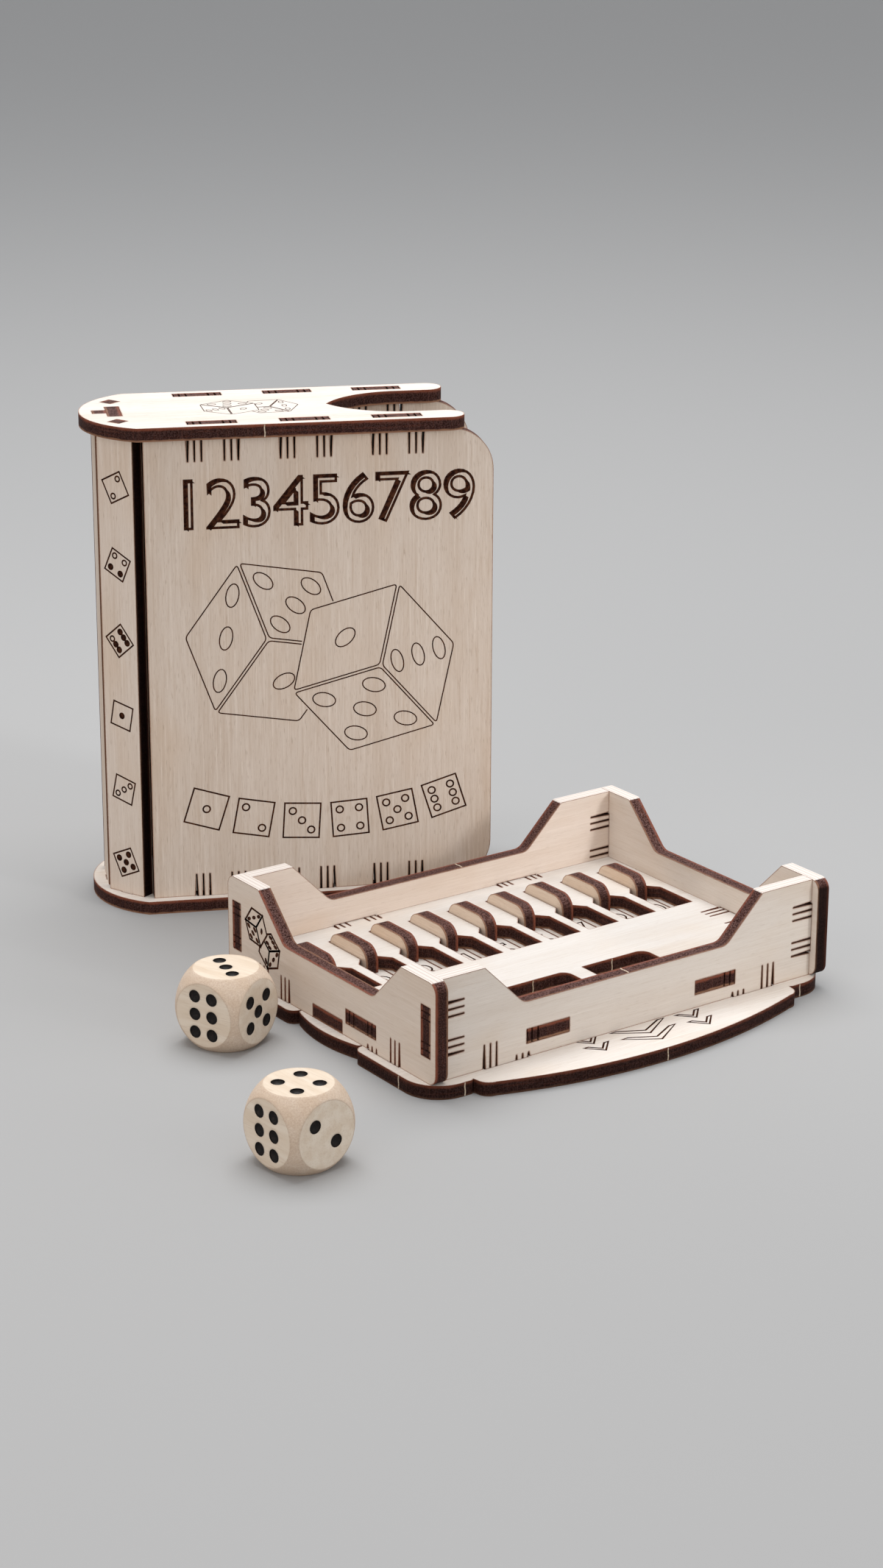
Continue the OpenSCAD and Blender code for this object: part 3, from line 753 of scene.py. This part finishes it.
def beech(name, centre, spin):
    """Pale beech along the die's own axes, browner and rougher where the ball was turned."""
    material, tree, shader = new_material(name)
    here = wire(tree, "TexCoord").outputs["Object"]
    local = wire(tree, "VectorMath", {0: here, 1: centre}, operation="SUBTRACT").outputs[0]
    axes = [along_axis(tree, local, spin @ axis) for axis in (RIGHT, BACK, UP)]
    place = wire(tree, "CombineXYZ", dict(enumerate(axes))).outputs[0]
    reach = wire(tree, "VectorMath", {0: place}, operation="LENGTH").outputs["Value"]
    turned = fade(tree, reach, BALL_R - 0.14, BALL_R - 0.04)
    rings = grain_noise(tree, place, (0.45, 0.06, 0.45), 2.0)
    fibre = grain_noise(tree, place, (3.2, 0.3, 3.2), 2.0, 0.6)
    speck = grain_noise(tree, place, (3.2, 3.2, 3.2), 3.0, 0.65)
    wood = blend_colours(tree, fade(tree, rings, 0.3, 0.7), EARLY_BEECH, LATE_BEECH)
    wood = blend_colours(tree, fade(tree, fibre, 0.48, 0.8, 0, 0.32), wood, BEECH_FIBRE)
    sanded = blend_colours(tree, fade(tree, speck, 0.30, 0.75, 0.32, 0.72), wood, BEECH_END)
    colour = blend_colours(tree, turned, wood, sanded)
    tree.links.new(colour, shader.inputs["Base Color"])
    tree.links.new(fade(tree, turned, 0, 1, 0.42, 0.6), shader.inputs["Roughness"])
    shader.inputs["Specular IOR Level"].default_value = 0.3
    soft = wire(tree, "Bevel", {"Radius": 0.8 * MM}, samples=6).outputs[0]
    relief = math_of(tree, "ADD", speck, fibre)
    sockets = {"Height": relief, "Strength": 0.25, "Distance": 0.05 * MM, "Normal": soft}
    bump = wire(tree, "Bump", sockets)
    tree.links.new(bump.outputs[0], shader.inputs["Normal"])
    return material


PAINT = mottled("pip_paint", (2.5, 2.5, 2.5), 0.4, 0.75,
                (0.004, 0.003, 0.003, 1), (0.020, 0.011, 0.009, 1), 0.5, 0.25)
PIP_WIDE = 3.9
PIP_NEAR = 2.1
PIP_DIAG = 2.8
pip_places = {count: [(x * PIP_DIAG, y * PIP_DIAG) for x, y in PIPS[count]] for count in (1, 4, 5)}
pip_places[6] = [(x * PIP_NEAR, y * PIP_WIDE) for x, y in PIPS[6]]
pip_places[2] = [(-2.8, 2.4), (2.3, -1.9)]
pip_places[3] = [(-3.2, 2.2), (0, 0), (3.2, -2.2)]
quarter = math.pi / 2
face_turns = {
    4: Matrix.Identity(3),
    3: Matrix.Rotation(math.pi, 3, "X") @ Matrix.Rotation(quarter, 3, "Z"),
    6: Matrix.Rotation(-quarter, 3, "Z") @ Matrix.Rotation(quarter, 3, "X"),
    1: Matrix.Rotation(quarter, 3, "Z") @ Matrix.Rotation(quarter, 3, "X"),
    2: Matrix.Rotation(quarter, 3, "X"),
    5: Matrix.Rotation(math.pi, 3, "Z") @ Matrix.Rotation(quarter, 3, "X"),
}


def round_turns(points):
    return [math.tau * n / points for n in range(points)]


def turned_block(half):
    """A cube cut down by a ball, built face by face with an exact round flat on each."""
    shape = bmesh.new()
    flat_r = math.sqrt(BALL_R ** 2 - half ** 2)
    spokes = 64
    for turn in face_turns.values():
        middle = shape.verts.new(turn @ Vector((0, 0, half)))
        rows = []
        for step in (1, 2, 3):
            ring = [Vector((math.cos(a), math.sin(a))) * flat_r * step / 3 for a in round_turns(spokes)]
            rows.append([shape.verts.new(turn @ Vector((p.x, p.y, half))) for p in ring])
        for share in (0.25, 0.5, 0.75, 1.0):
            row = []
            for p in ring:
                rim = p * (half / max(abs(p.x), abs(p.y)))
                spot = Vector((*p.lerp(rim, share), half)).normalized() * BALL_R
                row.append(shape.verts.new(turn @ spot))
            rows.append(row)
        for n in range(spokes):
            m = (n + 1) % spokes
            shape.faces.new((middle, rows[0][n], rows[0][m]))
            for inner, outer in zip(rows, rows[1:]):
                shape.faces.new((inner[n], outer[n], outer[m], inner[m]))
    bmesh.ops.remove_doubles(shape, verts=shape.verts, dist=0.01)
    bmesh.ops.recalc_face_normals(shape, faces=shape.faces)
    return shape


def pip_drills(half):
    """The holes of all pips as one set of short round-nosed drills."""
    shape = bmesh.new()
    profile = ((0.45, PIP_DEPTH * 0.93), (0.8, PIP_DEPTH * 0.7), (1.0, PIP_DEPTH * 0.3), (1.0, -0.4))
    spokes = 24
    for count, turn in face_turns.items():
        for x, y in pip_places[count]:
            rows = []
            for share, depth in profile:
                reach, z = PIP_R * share, half - depth
                ring = [(x + reach * math.cos(a), y + reach * math.sin(a)) for a in round_turns(spokes)]
                rows.append([shape.verts.new(turn @ Vector((*p, z))) for p in ring])
            tip = shape.verts.new(turn @ Vector((x, y, half - PIP_DEPTH)))
            for n in range(spokes):
                m = (n + 1) % spokes
                shape.faces.new((tip, rows[0][n], rows[0][m]))
                for low, high in zip(rows, rows[1:]):
                    shape.faces.new((low[n], high[n], high[m], low[m]))
            shape.faces.new(rows[-1])
    bmesh.ops.recalc_face_normals(shape, faces=shape.faces)
    return shape


def solid_from(shape, name, material):
    solid = bpy.data.objects.new(name, finished_mesh(shape, name, material))
    bpy.context.scene.collection.objects.link(solid)
    return solid


def drilled(block, drills):
    """The block's mesh with the drills cut out of it. Both objects are used up."""
    cut = block.modifiers.new("pips", "BOOLEAN")
    cut.operation = "DIFFERENCE"
    cut.solver = "EXACT"
    cut.material_mode = "TRANSFER"
    cut.object = drills
    mesh = evaluated_mesh(block)
    bpy.data.objects.remove(block)
    bpy.data.objects.remove(drills)
    return mesh


UPSIDE_DOWN = Matrix.Rotation(math.pi, 3, "X")
dice = (
    ("die_near", "near_die", Matrix.Rotation(math.radians(6.9), 3, "Z")),
    ("die_far", "far_die", Matrix.Rotation(math.radians(22.0), 3, "Z") @ UPSIDE_DOWN),
)
for die, body, spin in dice:
    low, high = (Vector(c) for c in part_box(die))
    centre = (low + high) / 2
    half = (high.z - low.z) / 2 / MM
    block = solid_from(turned_block(half), die + "_block", beech(die + "_beech", centre, spin))
    mesh = drilled(block, solid_from(pip_drills(half), die + "_drills", PAINT))
    mesh.name = die + "_turned"
    mesh.transform(Matrix.Translation(centre) @ spin.to_4x4() @ Matrix.Scale(MM, 4))
    mesh.polygons.foreach_set("use_smooth", [True] * len(mesh.polygons))
    mesh.set_sharp_from_angle(angle=math.radians(30))
    piece = add_piece(die + "_turned", mesh, body)
    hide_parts(die)


# ---- Table, light and camera ------------------------------------------------------------------
# A seamless plain grey sweep under a large soft overhead light, with a weak light and a narrow low
# one at the front right, a warm one at the left, and a long lens that looks down on the game from
# its front left.

FLOOR_HALF = 4.0
PALE_GREY = (0.40, 0.40, 0.40, 1)
floor_mesh = bpy.data.meshes.new("sweep")
sweep = bpy.data.objects.new("sweep", floor_mesh)
bpy.context.scene.collection.objects.link(sweep)
shape = bmesh.new()
bmesh.ops.create_grid(shape, x_segments=1, y_segments=1, size=FLOOR_HALF)
shape.to_mesh(floor_mesh)
shape.free()
grey, _, shader = new_material("sweep_grey")
shader.inputs["Base Color"].default_value = PALE_GREY
shader.inputs["Roughness"].default_value = 0.7
shader.inputs["Specular IOR Level"].default_value = 0.2
floor_mesh.materials.append(grey)

world = bpy.data.worlds.new("studio")
bpy.context.scene.world = world
world.use_nodes = True
studio_air = world.node_tree.nodes["Background"]
studio_air.inputs["Color"].default_value = (0.97, 0.98, 1.0, 1)
studio_air.inputs["Strength"].default_value = 0.62


def lamp(name, kind, place, aim, power):
    """Hangs a lamp at a place, pointed at another, and returns its settings."""
    settings = bpy.data.lights.new(name, kind)
    settings.energy = power
    holder = bpy.data.objects.new(name, settings)
    bpy.context.scene.collection.objects.link(holder)
    holder.location = place
    holder.rotation_euler = (Vector(aim) - Vector(place)).to_track_quat("-Z", "Y").to_euler()
    return settings


lamp("overhead", "AREA", (0.10, 0.22, 0.95), (0, 0.02, 0), 8.0).size = 0.8
lamp("front_fill", "AREA", (0.45, -0.85, 0.35), (0.03, 0.02, 0.04), 0.8).size = 0.6
left_fill = lamp("left_fill", "AREA", (-0.9, -0.3, 0.5), (0, 0.02, 0.03), 1.4)
left_fill.size = 0.7
left_fill.color = (1.0, 0.86, 0.74)
low_glow = lamp("low_glow", "SPOT", (0.35, -0.75, 0.30), (0.045, 0.07, 0.025), 12.0)
low_glow.spot_size = math.radians(16)
low_glow.spot_blend = 1.0
low_glow.shadow_soft_size = 0.08

LENS_PLACE = Vector((-395.4, -519.5, 270.6)) * MM
LENS_AZIMUTH = 0.6224
LENS_TILT = 0.3324
LENS_ROLL = 0.0035
FOCAL_PIXELS = 4476.4
IMAGE_HEIGHT = 2131
SENSOR = 36.0
ahead = Vector((
    math.sin(LENS_AZIMUTH) * math.cos(LENS_TILT),
    math.cos(LENS_AZIMUTH) * math.cos(LENS_TILT),
    -math.sin(LENS_TILT),
))
roll = Matrix.Rotation(LENS_ROLL, 3, "Z").to_quaternion()
camera_data = bpy.data.cameras.new("camera")
camera = bpy.data.objects.new("camera", camera_data)
bpy.context.scene.collection.objects.link(camera)
camera.location = LENS_PLACE
camera.rotation_euler = (ahead.to_track_quat("-Z", "Y") @ roll).to_euler()
camera_data.sensor_fit = "VERTICAL"
camera_data.sensor_height = SENSOR
camera_data.lens = FOCAL_PIXELS / IMAGE_HEIGHT * SENSOR
camera_data.clip_start = 0.02
camera_data.clip_end = 20
bpy.context.scene.camera = camera
bpy.context.scene.view_settings.view_transform = "Standard"
